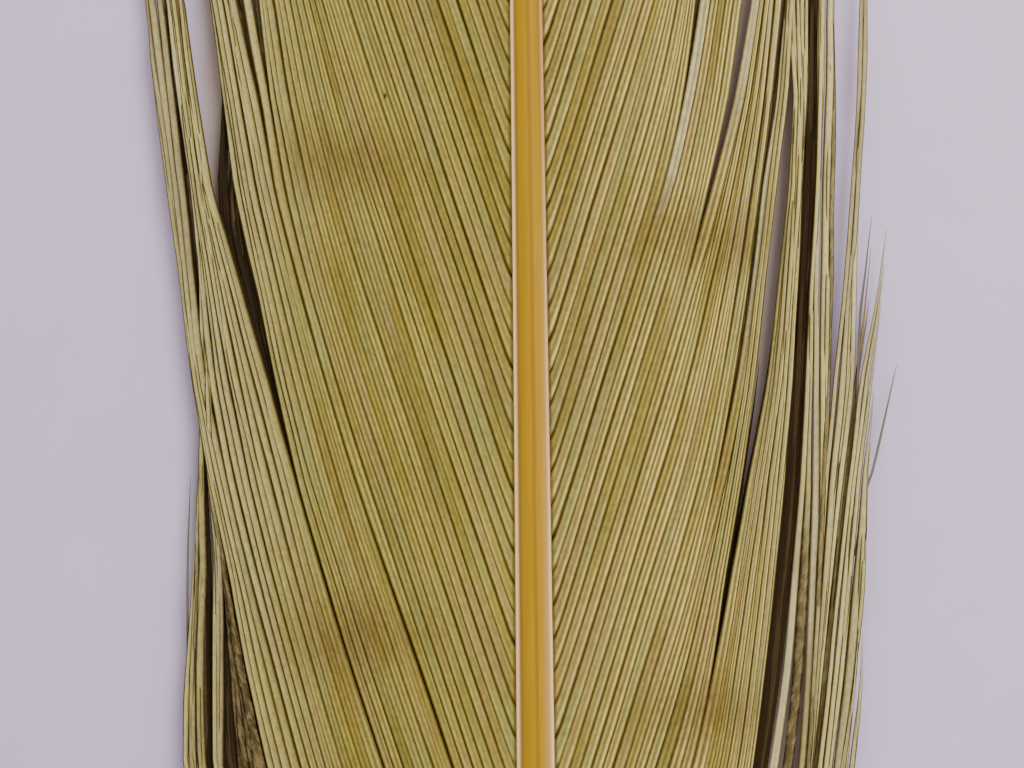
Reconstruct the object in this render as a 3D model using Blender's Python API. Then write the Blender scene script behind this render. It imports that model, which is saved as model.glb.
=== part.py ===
# Pheasant tail feather lying on a surface, upper side up.
# One grown piece: the shaft, the locks of both vanes and the downy locks at
# their foot are a single closed solid. Lengths are in millimetres until the
# mesh is made, which is in metres.
# The origin is on the flat underside of the shaft where the vanes begin,
# +Y points to the tip, +Z up.

import functools
import math

import bmesh
import bpy
import numpy as np

# Driving dimensions

MM = 0.001
QUILL_LENGTH = 45.0
VANE_LENGTH = 452.0
SHAFT_WIDTH_AT_VANE = 3.88
SHAFT_TAPER = 0.0078
SHAFT_DEPTH_RATIO = 0.96
SHAFT_BEND = 2.35e-5
QUILL_END_WIDTH = 2.1
QUILL_SWELL = 0.35
QUILL_POINT_POWER = 6

LOCK_SPACING = 14.0
LOCK_WANDER = 0.22
LOCK_CROWN = 0.22
LOCK_LIFT = 0.35
SLIT_SHARE = 0.2
LOCK_END_ROUNDING = 0.025

VANE_THICKNESS = 0.5
MOST_OF_SHAFT_DEPTH = 0.34
VANE_DROP_POWER = 1.4
VANE_TOP_ON_SHAFT = 0.80
VANE_BOTTOM_ON_SHAFT = 0.46
DOWN_LENGTH = 48.0
DOWN_THICKNESS = 2.2
DOWN_SWELL_POWER = 0.7

# Profiles along the shaft: position in millimetres, then the value there

ROOT_ANGLE_DEG = ((0, 60), (18, 46), (40, 33), (75, 24.5), (130, 20), (200, 18.2),
                  (330, 17.6), (400, 15.5), (425, 13), (440, 9), (452, 3))
BARB_LENGTH = ((0, 20), (18, 28), (40, 38), (75, 50), (130, 61), (200, 68),
               (300, 70), (350, 64), (400, 46), (425, 31), (440, 21), (452, 13))

# How a barb turns towards the tip: it runs straight for a share of its length,
# then its angle to the shaft falls towards end_angle

SIDES = {
    "left": {"sign": -1, "straight": 0.32, "fade": 0.76, "end_angle": 3.0, "longer": 1.0, "salt": 3},
    "right": {"sign": 1, "straight": 0.24, "fade": 0.41, "end_angle": 1.0, "longer": 1.10, "salt": 57},
}

# Places along the shaft where the worn middle of the vanes has parted, each with
# the share of the barb length at which the slit opens. Elsewhere slits are
# spaced evenly with a little wander.

PARTED_MIDDLE = {
    "left": ((199.15, 0.7), (211.05, 0.7), (217.4, 0.58), (231.35, 0.46), (240.9, 0.46)),
    "right": ((198.6, 0.58), (202.75, 0.7), (216.1, 0.34), (231.0, 0.34), (238.9, 0.34),
              (253.4, 0.22), (261.7, 0.22)),
}

# How the locks lie in that worn stretch. A row is one barb: its root on the shaft,
# then how far out from the shaft's middle it lies at each of the heights. Two rows
# with almost the same root are the two edges of a slit.

WORN_HALF_SLIT = 0.3
LEAST_APART = 0.3
SETTLE_REACH = 8.0
SETTLE_SHARES = (0.12, 0.42)
SHAFT_MIDDLE_AT = 270.0
LIE_HEIGHTS = (250.8, 255.6, 260.4, 265.2, 270.0, 274.8, 279.6, 284.4, 289.2)
FREE = float("nan")
LIE = {
    "left": (
        (176.0, 17.40, 17.25, 17.10, 17.00, 16.90, 16.80, 16.70, 16.60, 16.50),
        (190.0, 17.10, 17.00, 16.75, 16.65, 16.60, 16.45, 16.30, 16.15, 16.05),
        (198.85, 16.20, 16.30, 16.23, 16.35, 16.30, 16.25, 16.15, 16.05, 15.95),
        (199.45, 15.90, 15.90, 15.88, 16.15, 16.20, 16.15, 16.10, 16.00, 15.90),
        (210.75, 13.30, 14.32, 15.22, 16.00, 16.30, 16.25, 16.15, 16.05, 15.95),
        (211.35, 13.15, 14.20, 15.05, 16.00, 16.82, 17.50, 18.13, 18.77, 19.42),
        (217.1, FREE, FREE, 14.15, 15.30, 16.25, 16.75, 17.25, 17.80, 18.35),
        (217.7, FREE, FREE, 13.80, 14.95, 16.00, 16.50, 17.00, 17.60, 18.15),
        (231.05, FREE, FREE, FREE, 11.75, 13.00, 14.40, 15.85, 16.61, 17.20),
        (231.65, FREE, FREE, FREE, 11.60, 12.78, 13.80, 14.83, 15.53, 16.18),
        (240.6, FREE, FREE, FREE, FREE, FREE, FREE, 12.93, 13.85, 14.83),
        (241.2, FREE, FREE, FREE, FREE, FREE, FREE, 12.70, 13.53, 14.45),
        (262.0, FREE, FREE, FREE, FREE, FREE, FREE, FREE, FREE, FREE),
    ),
    "right": (
        (168.0, FREE, FREE, FREE, FREE, FREE, FREE, FREE, FREE, FREE),
        (179.0, 15.85, 16.30, 16.45, 16.65, 16.85, 17.05, 17.10, 17.10, 17.10),
        (190.0, 15.15, 15.70, 16.20, 16.60, 17.10, 17.60, 18.00, 18.10, 18.20),
        (198.3, 14.38, 14.85, 15.35, 15.90, 16.70, 17.45, 17.90, 18.05, 18.15),
        (198.9, 13.90, 14.53, 15.10, 15.73, 16.05, 16.30, 16.55, 16.85, 16.88),
        (202.45, 13.45, 14.20, 14.78, 14.90, 15.15, 15.65, 16.03, 16.43, 16.55),
        (203.05, 13.40, 14.10, 14.68, 14.85, 15.05, 15.20, 15.43, 15.45, 15.43),
        (215.8, 11.70, 12.40, 12.88, 13.30, 13.63, 13.85, 14.20, 14.25, 14.33),
        (216.4, 11.15, 11.73, 12.23, 12.68, 13.00, 13.25, 13.48, 13.75, 13.80),
        (230.7, 8.30, 9.23, 10.05, 10.88, 11.80, 12.40, 12.93, 13.10, 12.95),
        (231.3, 8.05, 9.00, 9.80, 10.60, 11.28, 11.73, 12.28, 12.78, 12.88),
        (238.6, FREE, FREE, FREE, 9.38, 10.35, 11.08, 11.65, 12.35, 12.83),
        (239.2, FREE, FREE, FREE, 9.18, 10.13, 10.90, 11.48, 12.13, 12.53),
        (253.1, FREE, FREE, FREE, FREE, FREE, FREE, 9.18, 10.30, 11.10),
        (253.7, FREE, FREE, FREE, FREE, FREE, FREE, 8.95, 9.98, 10.63),
        (261.4, FREE, FREE, FREE, FREE, FREE, FREE, 6.78, 7.78, 8.60),
        (262.0, FREE, FREE, FREE, FREE, FREE, FREE, 6.60, 7.53, 8.30),
        (276.0, FREE, FREE, FREE, FREE, FREE, FREE, FREE, FREE, FREE),
    ),
}

# Locks worn shorter or grown longer than the rest: first and last root, and times longer

GROWTH = {
    "left": ((199.15, 211.05, 0.92), (211.05, 224.5, 1.14)),
    "right": ((190.0, 198.6, 1.06), (198.6, 202.75, 1.2), (202.75, 216.1, 1.08)),
}

# Shares of the barb length at which a lock has a row of points

ROWS = (0.0, 0.1, 0.22, 0.34, 0.46, 0.58, 0.7, 0.82, 0.92, 1.0)
STEPS_ALONG_BARB = 60
LONGEST_SHARE = 1.6
PLACES_ALONG_BARB = 81
DOWN_SLIT_SHARE = 0.1
SLIT_SHARES = (0.34, 0.46, 0.58, 0.7)

# Corners of the shaft's section: share of the width, share of the depth

SHAFT_CORNERS = {
    "foot_right": (0.26, 0.0),
    "belly_right": (0.44, 0.2),
    "vane_bottom_right": (0.5, VANE_BOTTOM_ON_SHAFT),
    "vane_top_right": (0.47, VANE_TOP_ON_SHAFT),
    "back_right": (0.27, 0.96),
    "back": (0.0, 1.0),
    "back_left": (-0.27, 0.96),
    "vane_top_left": (-0.47, VANE_TOP_ON_SHAFT),
    "vane_bottom_left": (-0.5, VANE_BOTTOM_ON_SHAFT),
    "belly_left": (-0.44, 0.2),
    "foot_left": (-0.26, 0.0),
}

# Stations of the bare quill, from its blunt end to the foot of the vanes

QUILL_STATIONS = (-45.0, -43.6, -41.0, -36.0, -27.0, -18.0, -9.0)

HORN_COLOUR = (0.45, 0.26, 0.035, 1.0)
HORN_ROUGHNESS = 0.38
SHARP_ABOVE_DEG = 40

# Numbers that only set the repeatable wandering of slits and lock heights

WOBBLE_TURN = 12.9898
WOBBLE_SPREAD = 43758.5453
SLIT_SALT = 5.3
LIFT_SALT = 9.1


def along(profile, y):
    table = np.array(profile, float)
    return float(np.interp(y, table[:, 0], table[:, 1]))


def wobble(number):
    """A repeatable value from -1 to 1 for any number."""
    return 2 * math.modf(abs(math.sin(number * WOBBLE_TURN) * WOBBLE_SPREAD))[0] - 1


def shaft_width(y):
    if y >= 0:
        return SHAFT_WIDTH_AT_VANE - SHAFT_TAPER * y
    share = -y / QUILL_LENGTH
    belly = QUILL_SWELL * math.sin(math.pi * share)
    narrowing = (SHAFT_WIDTH_AT_VANE - QUILL_END_WIDTH) * share ** QUILL_POINT_POWER
    return SHAFT_WIDTH_AT_VANE + belly - narrowing


def shaft_x(y):
    return -SHAFT_BEND * max(y, 0.0) ** 2


def shaft_corner(name, y):
    across, up = SHAFT_CORNERS[name]
    width = shaft_width(y)
    depth = SHAFT_DEPTH_RATIO * width
    return shaft_x(y) + across * width, y, up * depth


def smooth(value, low, high):
    share = min(1.0, max(0.0, (value - low) / (high - low)))
    return share * share * (3.0 - 2.0 * share)


def free_point(side, root, share):
    """Plan position of a point on the barb that grows at a place on the shaft."""
    form = SIDES[side]
    length = along(BARB_LENGTH, root) * form["longer"]
    step = share * length / STEPS_ALONG_BARB
    distance = step * (np.arange(STEPS_ALONG_BARB) + 0.5)
    root_angle = along(ROOT_ANGLE_DEG, root)
    past_straight = np.maximum(0.0, distance / length - form["straight"])
    turn = np.exp(-past_straight / form["fade"])
    angle = form["end_angle"] + (root_angle - form["end_angle"]) * turn
    shaft_heading = math.atan(-2 * SHAFT_BEND * root)
    heading = np.radians(form["sign"] * angle) + shaft_heading
    x_on_shaft = shaft_x(root) + form["sign"] * 0.5 * shaft_width(root)
    x = x_on_shaft + step * float(np.sum(np.sin(heading)))
    y = root + step * float(np.sum(np.cos(heading)))
    return x, y


@functools.cache
def worn_shifts(side):
    """For each barb of the lie table, how far it is moved towards the shaft at each height."""
    table = np.array(LIE[side], float)
    shares = np.linspace(0.0, LONGEST_SHARE, PLACES_ALONG_BARB)
    middle = shaft_x(SHAFT_MIDDLE_AT)
    free = []
    for root in table[:, 0]:
        line = np.array([free_point(side, root, share) for share in shares])
        x = np.interp(LIE_HEIGHTS, line[:, 1], line[:, 0])
        free.append(SIDES[side]["sign"] * (x - middle))
    free = np.array(free)
    wanted = np.where(np.isnan(table[:, 1:]), free, table[:, 1:])
    for number in range(len(wanted) - 2, -1, -1):
        wanted[number] = np.maximum(wanted[number], wanted[number + 1] + LEAST_APART)
    return table[:, 0], free - wanted


def barb_point(side, root, share):
    """Plan position of a point on a barb, moved where the worn locks lie apart."""
    roots, shifts = worn_shifts(side)
    x, y = free_point(side, root, share)
    at_heights = [np.interp(root, roots, shifts[:, number]) for number in range(len(LIE_HEIGHTS))]
    shift = float(np.interp(y, LIE_HEIGHTS, at_heights)) * smooth(share, *SETTLE_SHARES)
    within = smooth(root, roots[0] - SETTLE_REACH, roots[0])
    within *= 1.0 - smooth(root, roots[-1], roots[-1] + SETTLE_REACH)
    return x - SIDES[side]["sign"] * shift * within, y


def growth(side, root):
    for first, last, times in GROWTH[side]:
        if first <= root <= last:
            return times
    return 1.0


def downiness(root):
    """1 at the foot of the vanes, 0 from the end of the down."""
    return max(0.0, 1.0 - root / DOWN_LENGTH)


def vane_heights(root, share, crown, lift):
    """Bottom and top height of a vane at a place on a barb."""
    depth = SHAFT_DEPTH_RATIO * shaft_width(root)
    bottom_on_shaft = VANE_BOTTOM_ON_SHAFT * depth
    top_on_shaft = VANE_TOP_ON_SHAFT * depth
    slope = (1.0 - share) ** VANE_DROP_POWER
    thin = min(VANE_THICKNESS, MOST_OF_SHAFT_DEPTH * depth)
    hump = math.sin(math.pi * share) if share < 1 else 0.0
    swell = DOWN_THICKNESS * downiness(root) * hump ** DOWN_SWELL_POWER
    bottom = bottom_on_shaft * slope + (crown + lift) * hump * (1.0 - downiness(root))
    to_thin = min(1.0, share / ROWS[2])
    thickness = (top_on_shaft - bottom_on_shaft) * (1.0 - to_thin) + thin * to_thin
    return bottom, bottom + thickness + swell


def evenly_parted(start, end, salt):
    """Slits between two places on the shaft, both left out."""
    count = round((end - start) / LOCK_SPACING)
    spacing = (end - start) / count
    slits = []
    for number in range(1, count):
        place = start + spacing * (number + LOCK_WANDER * wobble(salt + number))
        share = SLIT_SHARES[int((wobble(salt + SLIT_SALT * number) + 1) / 2 * len(SLIT_SHARES))]
        slits.append((place, DOWN_SLIT_SHARE if place < DOWN_LENGTH else share))
    return slits


def lock_edges(side):
    """Where one lock of barbs ends and the next begins, and where each slit opens."""
    salt = SIDES[side]["salt"]
    middle = list(PARTED_MIDDLE[side])
    foot = evenly_parted(0.0, middle[0][0], salt)
    top = evenly_parted(middle[-1][0], VANE_LENGTH, salt + foot[-1][0])
    return [(0.0, 0.0)] + foot + middle + top + [(VANE_LENGTH, 0.0)]


class FeatherMesh:
    """Collects points and faces, so that pieces that meet share their points."""

    def __init__(self):
        self.points = []
        self.faces = []

    def point(self, position):
        self.points.append(tuple(MM * value for value in position))
        return len(self.points) - 1

    def face(self, corners):
        self.faces.append(tuple(corners))


def add_shaft(mesh, stations):
    """The shaft as a chain of rings, open where the vanes grow out of its sides."""
    rings = {}
    names = list(SHAFT_CORNERS)
    for y in stations:
        rings[y] = {name: mesh.point(shaft_corner(name, y)) for name in names}
    for low, high in zip(stations, stations[1:]):
        for name, following in zip(names, names[1:] + names[:1]):
            on_vane_root = {name, following} in (
                {"vane_bottom_right", "vane_top_right"}, {"vane_bottom_left", "vane_top_left"})
            if on_vane_root and low >= 0.0:
                continue
            mesh.face((rings[low][name], rings[low][following],
                       rings[high][following], rings[high][name]))
    first, last = rings[stations[0]], rings[stations[-1]]
    mesh.face([first[name] for name in reversed(names)])
    mesh.face([last[name] for name in names])
    return rings


def add_vane(mesh, side, rings):
    """The locks of one vane. Neighbours share their edge up to the slit between them."""
    salt = SIDES[side]["salt"]
    shared = {}
    edges = lock_edges(side)
    worn_places = [place for place, share in PARTED_MIDDLE[side]]
    for number, ((low, low_share), (high, high_share)) in enumerate(zip(edges, edges[1:])):
        low_slit = ROWS.index(low_share)
        high_slit = ROWS.index(high_share)
        lift = LOCK_LIFT * abs(wobble(salt + LIFT_SALT * number)) if number % 2 else 0.0
        columns = {"low": {}, "middle": {}, "high": {}}
        for row in range(1, len(ROWS)):
            share = ROWS[row]
            rounding = LOCK_END_ROUNDING if row == len(ROWS) - 1 else 0.0
            narrowing = share ** 2 * SLIT_SHARE * (high - low)
            low_narrowing = WORN_HALF_SLIT if low in worn_places else narrowing
            high_narrowing = WORN_HALF_SLIT if high in worn_places else narrowing
            middle = 0.5 * (low + high)
            times = growth(side, middle)
            columns["middle"][row] = vane_points(mesh, side, middle, middle, share, times,
                                                 LOCK_CROWN, lift)
            if row > low_slit:
                columns["low"][row] = vane_points(mesh, side, low, low + low_narrowing,
                                                  share - rounding, times, 0.0, lift)
            else:
                columns["low"][row] = shared[row]
            if row > high_slit:
                columns["high"][row] = vane_points(mesh, side, high, high - high_narrowing,
                                                   share - rounding, times, 0.0, lift)
            else:
                columns["high"][row] = vane_points(mesh, side, high, high, share, 1.0, 0.0, 0.0)
                shared[row] = columns["high"][row]
        add_lock_faces(mesh, side, rings, columns, (low, high), (low_slit, high_slit))


def vane_points(mesh, side, root, plan_root, share, times, crown, lift):
    """The bottom and top points of a vane at one place. Times is how much longer it grew."""
    stretch = 1.0 + (times - 1.0) * smooth(share, 0.0, 1.0)
    x, y = barb_point(side, plan_root, share * stretch)
    bottom, top = vane_heights(root, share, crown, lift)
    return mesh.point((x, y, bottom)), mesh.point((x, y, top))


def add_lock_faces(mesh, side, rings, columns, reach, slits):
    """Both faces of one lock, its end, and its edges past the slits."""
    last_row = len(ROWS) - 1
    low, high = reach
    on_root = [y for y in sorted(rings) if low <= y <= high]
    for level, name in enumerate(("vane_bottom_" + side, "vane_top_" + side)):
        chain = [rings[y][name] for y in on_root]
        first_row = [columns[column][1][level] for column in ("high", "middle", "low")]
        mesh.face(chain + first_row)
    for near, far in (("low", "middle"), ("middle", "high")):
        for row in range(1, last_row):
            for level in (0, 1):
                mesh.face((columns[near][row][level], columns[far][row][level],
                           columns[far][row + 1][level], columns[near][row + 1][level]))
        bottom_near, top_near = columns[near][last_row]
        bottom_far, top_far = columns[far][last_row]
        mesh.face((top_near, top_far, bottom_far, bottom_near))
    for edge, place, slit in zip(("low", "high"), reach, slits):
        root = (rings[place]["vane_bottom_" + side], rings[place]["vane_top_" + side])
        add_edge_wall(mesh, {**columns[edge], 0: root}, slit)


def add_edge_wall(mesh, column, slit):
    """The upright strip along a lock's edge, from its slit or the shaft to its end."""
    for row in range(slit, len(ROWS) - 1):
        bottom, top = column[row]
        bottom_next, top_next = column[row + 1]
        mesh.face((top, top_next, bottom_next, bottom))


def horn_material():
    material = bpy.data.materials.new("horn")
    material.use_nodes = True
    shader = material.node_tree.nodes["Principled BSDF"]
    shader.inputs["Base Color"].default_value = HORN_COLOUR
    shader.inputs["Roughness"].default_value = HORN_ROUGHNESS
    shader.inputs["Metallic"].default_value = 0.0
    return material


def build_feather():
    lock_roots = {place for side in SIDES for place, share in lock_edges(side)}
    stations = sorted(lock_roots.union(QUILL_STATIONS))
    mesh = FeatherMesh()
    rings = add_shaft(mesh, stations)
    add_vane(mesh, "left", rings)
    add_vane(mesh, "right", rings)
    data = bpy.data.meshes.new("feather")
    data.from_pydata(mesh.points, [], mesh.faces)
    solid = bmesh.new()
    solid.from_mesh(data)
    bmesh.ops.recalc_face_normals(solid, faces=solid.faces)
    solid.to_mesh(data)
    solid.free()
    data.shade_smooth()
    data.set_sharp_from_angle(angle=math.radians(SHARP_ABOVE_DEG))
    data.materials.append(horn_material())
    feather = bpy.data.objects.new("feather", data)
    bpy.context.scene.collection.objects.link(feather)
    return feather


def clear_scene():
    for item in list(bpy.data.objects):
        bpy.data.objects.remove(item, do_unlink=True)


clear_scene()
build_feather()
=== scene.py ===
# Pheasant tail feather, its visible surface: a horn shaft, several hundred barbs
# in two vanes, and down at their foot. Lengths are in millimetres until a mesh is
# made, which is in metres. +Y points to the tip and +Z up.

import math

import bpy
import numpy as np
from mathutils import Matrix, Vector


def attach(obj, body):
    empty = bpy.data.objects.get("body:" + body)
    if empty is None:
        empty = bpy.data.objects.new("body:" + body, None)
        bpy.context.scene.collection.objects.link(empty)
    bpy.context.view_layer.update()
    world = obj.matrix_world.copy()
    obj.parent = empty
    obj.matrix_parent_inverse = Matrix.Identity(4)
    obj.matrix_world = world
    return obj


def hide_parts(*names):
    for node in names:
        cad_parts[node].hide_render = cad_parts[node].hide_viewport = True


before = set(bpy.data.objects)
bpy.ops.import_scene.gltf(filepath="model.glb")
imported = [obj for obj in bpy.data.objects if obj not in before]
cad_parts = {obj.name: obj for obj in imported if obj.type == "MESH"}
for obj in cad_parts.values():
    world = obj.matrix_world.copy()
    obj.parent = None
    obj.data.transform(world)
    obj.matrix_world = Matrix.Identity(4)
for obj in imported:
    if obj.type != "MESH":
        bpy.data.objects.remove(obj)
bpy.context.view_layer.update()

# Driving dimensions, the same as the solid's

MM = 0.001
QUILL_LENGTH = 45.0
VANE_LENGTH = 452.0
SHAFT_WIDTH_AT_VANE = 3.88
SHAFT_TAPER = 0.0078
SHAFT_DEPTH_RATIO = 0.96
SHAFT_BEND = 2.35e-5
QUILL_END_WIDTH = 2.1
QUILL_SWELL = 0.35
QUILL_POINT_POWER = 6
VANE_THICKNESS = 0.5
VANE_BOTTOM_ON_SHAFT = 0.46
DOWN_LENGTH = 48.0
LOCK_SPACING = 14.0
LOCK_WANDER = 0.22
LOCK_CROWN = 0.22

ROOT_ANGLE_DEG = ((0, 60), (18, 46), (40, 33), (75, 24.5), (130, 20), (200, 18.2),
                  (330, 17.6), (400, 15.5), (425, 13), (440, 9), (452, 3))
BARB_LENGTH = ((0, 20), (18, 28), (40, 38), (75, 50), (130, 61), (200, 68),
               (300, 70), (350, 64), (400, 46), (425, 31), (440, 21), (452, 13))

SIDES = {
    "left": {"sign": -1, "straight": 0.32, "fade": 0.76, "end_angle": 3.0, "longer": 1.0,
             "salt": 3, "pitch": 1.53},
    "right": {"sign": 1, "straight": 0.24, "fade": 0.41, "end_angle": 1.0, "longer": 1.10,
              "salt": 57, "pitch": 1.65},
}

# Slits in the worn middle of the vanes: place on the shaft, share of the barb
# length where it opens, how far the barbs on its tip side move in at their ends,
# and how far those on its quill side move out

PARTED_MIDDLE = {
    "left": ((193.0, 0.46, 0.3, 0.3), (205.0, 0.5, 0.4, 0.3), (218.3, 0.50, 0.7, 0.5),
             (231.5, 0.40, 0.9, 0.9), (240.0, 0.45, 0.5, 0.4)),
    "right": ((188.0, 0.4, 0.4, 0.4), (200.0, 0.5, 0.4, 0.4), (213.5, 0.35, 0.8, 0.6),
              (231.0, 0.35, 0.5, 0.4), (236.5, 0.5, 0.4, 0.3), (251.5, 0.5, 0.4, 0.3),
              (262.0, 0.3, 0.3, 0.3)),
}

# How the locks lie in the worn stretch of each vane. A row is one barb: its root on
# the shaft, then how far out from the shaft's middle it lies at each of the heights.
# A short row gives only the last heights, and lower down the barb lies as it grew.
# Two rows with almost the same root are the two edges of a slit.

SLIT_ROOTS_APART = 0.8
SLIT_CLEARANCE = 0.05
LIE_HEIGHTS = (250.8, 255.6, 260.4, 265.2, 270.0, 274.8, 279.6, 284.4, 289.2)
LIE = {
    "left": (
        (176, 17.4, 17.25, 17.1, 17, 16.9, 16.8, 16.7, 16.6, 16.5),
        (190, 17.1, 17, 16.75, 16.65, 16.6, 16.45, 16.3, 16.15, 16.05),
        (198.9, 16.2, 16.3, 16.23, 16.35, 16.3, 16.25, 16.15, 16.05, 15.95),
        (199.4, 15.9, 15.9, 15.88, 16.15, 16.2, 16.15, 16.1, 16, 15.9),
        (202.7, 15.45, 15.4, 15.45, 15.85, 16.1, 16.2, 16.6, 17.2, 17.8),
        (203.3, 14.8, 15.1, 15.35, 15.75, 16.05, 16.15, 16.6, 17.2, 17.8),
        (210.8, 13.3, 14.32, 15.22, 16, 16.3, 16.4, 16.7, 17.25, 17.85),
        (211.3, 13.15, 14.2, 15.05, 16, 16.82, 17.5, 18.13, 18.77, 19.42),
        (217.1, 14.06, 15.22, 16.25, 16.75, 17.25, 17.8, 18.35),
        (217.7, 13.9, 15.04, 16, 16.5, 17, 17.6, 18.15),
        (231, 11.75, 13, 14.4, 15.85, 16.61, 17.2),
        (231.7, 11.6, 12.78, 13.8, 14.83, 15.53, 16.18),
        (240.6, 12.93, 13.85, 14.83),
        (241.2, 12.7, 13.53, 14.45),
        (242.9, 12.48, 13.33, 14.13),
        (243.5, 12.25, 13.13, 13.75),
        (262,),
    ),
    "right": (
        (168,),
        (179, 15.85, 16.3, 16.45, 16.65, 16.85, 17.05, 17.1, 17.1, 17.1),
        (190, 15.25, 15.85, 16.3, 16.6, 17.15, 17.65, 18.1, 18.2, 18.3),
        (198.3, 14.1, 14.6, 15.1, 15.6, 16.2, 17, 17.72, 17.95, 18),
        (198.9, 14.08, 14.58, 15.08, 15.58, 16.18, 16.38, 16.65, 16.9, 16.92),
        (205.9, 13.9, 14.2, 14.48, 14.75, 15.18, 15.63, 16.08, 16.43, 16.6),
        (206.4, 13.88, 14.18, 14.45, 14.63, 14.98, 15.15, 15.23, 15.33, 15.35),
        (211.8, 13.6, 14, 14.18, 14.3, 14.27, 14.29, 14.38, 14.55, 14.65),
        (215.8, 11.7, 12.4, 12.88, 13.3, 13.63, 13.85, 14.2, 14.25, 14.33),
        (216.4, 11.15, 11.73, 12.23, 12.68, 13, 13.25, 13.48, 13.75, 13.8),
        (230.7, 8.3, 9.23, 10.05, 10.88, 11.8, 12.4, 12.93, 13.1, 12.95),
        (231.3, 8.05, 9, 9.8, 10.6, 11.28, 11.73, 12.28, 12.78, 12.88),
        (238.6, 9.38, 10.35, 11.08, 11.65, 12.35, 12.83),
        (239.2, 9.18, 10.13, 10.9, 11.48, 12.13, 12.53),
        (240.4, 7.8, 9.05, 9.95, 10.65, 11.3, 11.9, 12.35),
        (241, 7.55, 8.88, 9.8, 10.55, 11.23, 11.83, 12.28),
        (253.1, 9.18, 10.3, 11.1),
        (253.7, 8.95, 9.98, 10.63),
        (261.4, 6.78, 7.78, 8.6),
        (262, 6.6, 7.53, 8.3),
        (276,),
    ),
}

# Barbs that grew longer than their neighbours: first and last root, and times longer

LONG_BARBS = {
    "left": ((186, 203, 1.12), (203.4, 210.9, 1.04), (211.1, 224, 1.19)),
    "right": ((176, 198.3, 1.09), (198.7, 206, 1.24), (206.4, 216.5, 1.17)),
}

# Barbs laid deep in a slit and painted dark, standing for the shade there: slit, number,
# share of the length they reach, how far their ends move towards the shaft, under the lock
# beside them, and how dark their painted shade is

DEEP_BARBS = {
    "left": ((199.15, 3, 1.1, 0, 1), (203, 6, 1.1, 0, 1), (211.05, 3, 0.95, 0.2, 1),
             (217.4, 3, 1.1, 0, 0.85), (231.35, 8, 0.86, 1.25, 1), (240.9, 3, 1, 0, 0.8),
             (243.2, 2, 1, 0, 0.75)),
    "right": ((198.3, 7, 0.89, 0, 0.6), (206.15, 2, 0.70, 0.1, 0.9), (216.1, 7, 1.1, 0, 1),
              (230.78, 1, 1, 0, 1), (231, 2, 0.55, 0.3, 1), (238.9, 2, 1, 0, 0.65),
              (261.7, 2, 1, 0, 0.8)),
}

# Barbs in the shadow of the lock above them: first and last root, the place along the
# feather where the shadow begins, where it is full, and its strength there

SHADED_BARBS = {
    "left": ((203.2, 210.9, 268, 260, 0.9), (190, 198.9, 271, 262, 0.35)),
    "right": ((206.5, 207.6, 290, 284, 0.7), (212.6, 214.3, 266, 261, 0.8),
              (208, 210.6, 263, 254, 0.6), (199.6, 206, 262, 250, 0.6),
              (182, 192.4, 264, 255, 0.35)),
}

# Barbs bleached pale, in the same order

PALE_BARBS = {
    "left": ((176, 198.9, 262, 270, 0.25), (199.3, 202.8, 268, 262, 0.55),
             (217.6, 218.3, 268, 276, 0.9), (211.5, 217, 268, 280, 0.62)),
    "right": ((191, 198.4, 262, 274, 0.7), (189.6, 190.8, 262, 274, 1),
              (199.6, 206, 266, 280, 0.65), (198.7, 199.3, 264, 274, 1),
              (211.2, 212.4, 250, 258, 0.85), (214.5, 215.8, 265, 260, 0.85),
              (236.2, 238.4, 268, 276, 0.85), (252.7, 253.3, 280, 285, 0.8),
              (261, 261.5, 277, 281, 1)),
}

# The stretch of shaft whose barbs cross the camera's view

VIEW_CENTRE_Y = 270.0
DETAILED_FROM = 160.0
DETAILED_TO = 300.0
FINE_STEPS = 60
COARSE_STEPS = 38

# Section of a barb: place across from its outer edge (-1) to its edge on the tip
# side (1), and depth below its crest. The last point is its keel.

BARB_SECTION = ((-1.0, 1.0), (-0.80, 0.60), (-0.62, 0.14), (-0.46, 0.0), (-0.28, 0.12), (0.02, 0.40),
                (0.28, 0.22), (0.48, 0.12), (0.66, 0.30), (0.84, 0.66), (1.0, 1.0), (-0.1, 1.9))
RIDGE_ACROSS = -0.46
SECOND_RIDGE_ACROSS = 0.48
BARB_RELIEF = 0.11
BARB_OVERLAP = 1.12
MOST_STRETCH = 1.45
CORD_WIDTH = 0.25
WIDEST_CORD = 0.46
WORN_LIFT = 0.4
TUCK_SHARES = (0.69, 0.81)
HOOK_ANGLE = 14.0
HOOK_LENGTH = 0.6
DEEP_SPREAD = 0.6
DEEP_SINK = 0.35
DEEP_SLIMNESS = 0.7
WOBBLE_TURN = 12.9898
WOBBLE_SPREAD = 43758.5453

# Waves that make up a ripple: share of the wavelength, and weight

RIPPLE_WAVES = ((1.0, 0.5), (0.57, 0.3), (0.31, 0.2))
RIPPLE_UNEVENNESS = 0.25


def interpolate(profile, values):
    table = np.array(profile, float)
    return np.interp(values, table[:, 0], table[:, 1])


def smooth(values, low, high):
    share = np.clip((values - low) / (high - low), 0.0, 1.0)
    return share * share * (3.0 - 2.0 * share)


def wobble(number):
    """A repeatable value from -1 to 1 for any number.

    Callers multiply by a factor of their own, so that each of them draws other values.
    """
    parts = np.abs(np.sin(np.asarray(number, float) * WOBBLE_TURN) * WOBBLE_SPREAD)
    return 2.0 * np.modf(parts)[0] - 1.0


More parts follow.
